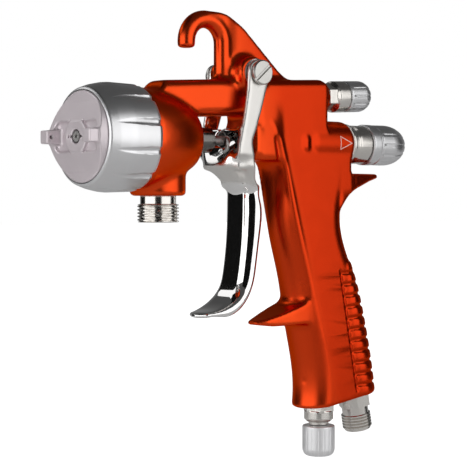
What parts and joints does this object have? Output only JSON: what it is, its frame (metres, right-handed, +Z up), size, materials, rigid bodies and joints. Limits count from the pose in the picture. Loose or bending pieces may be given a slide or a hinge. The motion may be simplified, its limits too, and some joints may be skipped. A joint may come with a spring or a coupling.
{
  "type": "hvlp spray gun",
  "caption": "Hand-held compressed-air paint spray gun with hanging hook, round air cap and retaining ring, pull trigger, sloped grip, fluid and air inlets and three adjusting knobs.",
  "frame": {"origin": "centre of the hanging hook's inner arc, on the gun's mid-plane", "axes": "+Z up with the gun hanging by its hook, the nozzle points to -X, the grip is at +X, and the gun is symmetric about the XZ plane, so +Y is its left-hand side seen from behind"},
  "size_m": [0.1828, 0.043, 0.1896],
  "materials": {
    "paint": "orange-red metallic lacquer over cast aluminium, glossy",
    "polished_aluminium": "satin turned aluminium",
    "cap_aluminium": "matte anodised aluminium",
    "knob_aluminium": "satin anodised aluminium",
    "polished_steel": "polished and plated steel",
    "stainless": "turned stainless steel",
    "nickel": "nickel-plated brass",
    "brass": "turned brass",
    "spring_steel": "drawn spring wire",
    "seal": "white sealing plastic"
  },
  "bodies": {
    "body": {"gun_body": "paint", "fluid_nozzle": "stainless", "air_baffle": "cap_aluminium", "needle_packing": "seal", "needle_packing_nut": "brass", "fluid_inlet_nipple": "nickel", "fluid_inlet_seal": "seal", "air_valve_gland": "brass", "gland_seal": "seal", "air_valve_seat": "brass", "needle_housing": "nickel", "housing_seal": "seal", "fan_valve_housing": "nickel", "fan_valve_seal": "seal", "flow_valve_housing": "nickel", "flow_valve_seal": "seal", "air_inlet_nipple": "nickel", "air_inlet_washer": "seal", "pivot_pin": "stainless", "pivot_screw": "stainless", "pivot_washers": "stainless", "air_valve_spring": "spring_steel", "needle_spring": "spring_steel"},
    "retaining_ring": {"retaining_ring": "polished_aluminium", "cap_clip": "spring_steel"},
    "air_cap": {"air_cap": "cap_aluminium"},
    "trigger": {"trigger": "polished_steel"},
    "needle": {"needle": "stainless", "needle_collar": "brass"},
    "air_valve": {"air_valve_stem": "stainless", "air_valve_face": "seal"},
    "needle_stop": {"spring_seat": "stainless"},
    "fluid_knob": {"fluid_knob": "knob_aluminium"},
    "fan_spindle": {"fan_spindle": "stainless"},
    "fan_knob": {"fan_knob": "knob_aluminium"},
    "flow_spindle": {"flow_spindle": "stainless"},
    "flow_knob": {"flow_knob": "knob_aluminium"}
  },
  "joints": [
    {"name": "trigger_pull", "type": "hinge", "parent": "body", "child": "trigger", "pos_m": [0.0184, 0, -0.0122], "axis": [0, -1, 0], "range_deg": [0, 10], "stiffness_Nm_per_rad": 1.6, "springref_deg": -14.32},
    {"name": "needle_slide", "type": "slide", "parent": "body", "child": "needle", "axis": [1, 0, 0], "range_m": [0, 0.004], "deforming": ["needle_spring"]},
    {"name": "air_valve_slide", "type": "slide", "parent": "body", "child": "air_valve", "axis": [1, 0, 0], "range_m": [0, 0.00585], "deforming": ["air_valve_spring"]},
    {"name": "needle_stop_travel", "type": "slide", "parent": "body", "child": "needle_stop", "axis": [1, 0, 0], "range_m": [0, 0.003]},
    {"name": "fluid_knob_turn", "type": "hinge", "parent": "needle_stop", "child": "fluid_knob", "pos_m": [0.1, 0, -0.04], "axis": [1, 0, 0], "range_deg": [0, 1079.9]},
    {"name": "fan_spindle_travel", "type": "slide", "parent": "body", "child": "fan_spindle", "axis": [0.9986, 0, 0.0523], "range_m": [0, 0.003]},
    {"name": "fan_knob_turn", "type": "hinge", "parent": "fan_spindle", "child": "fan_knob", "pos_m": [0.07989, 0, -0.01881], "axis": [0.9986, 0, 0.0523], "range_deg": [0, 1079.9]},
    {"name": "flow_spindle_travel", "type": "slide", "parent": "body", "child": "flow_spindle", "axis": [0, 0, -1], "range_m": [0, 0.003]},
    {"name": "flow_knob_turn", "type": "hinge", "parent": "flow_spindle", "child": "flow_knob", "pos_m": [0.0644, 0, -0.165], "axis": [0, 0, -1], "range_deg": [0, 1079.9]},
    {"name": "retaining_ring_turn", "type": "hinge", "parent": "body", "child": "retaining_ring", "pos_m": [-0.048, 0, -0.04], "axis": [-1, 0, 0], "range_deg": [0, 90]},
    {"name": "air_cap_turn", "type": "hinge", "parent": "body", "child": "air_cap", "pos_m": [-0.06, 0, -0.04], "axis": [-1, 0, 0], "range_deg": [-90, 90]}
  ],
  "couplings": [
    {"joint": "needle_slide", "follows": "trigger_pull", "m_per_rad": 0.0229},
    {"joint": "air_valve_slide", "follows": "trigger_pull", "m_per_rad": 0.0335},
    {"joint": "needle_stop_travel", "follows": "fluid_knob_turn", "m_per_rad": 0.00015915},
    {"joint": "fan_spindle_travel", "follows": "fan_knob_turn", "m_per_rad": 0.00015915},
    {"joint": "flow_spindle_travel", "follows": "flow_knob_turn", "m_per_rad": 0.00015915}
  ]
}
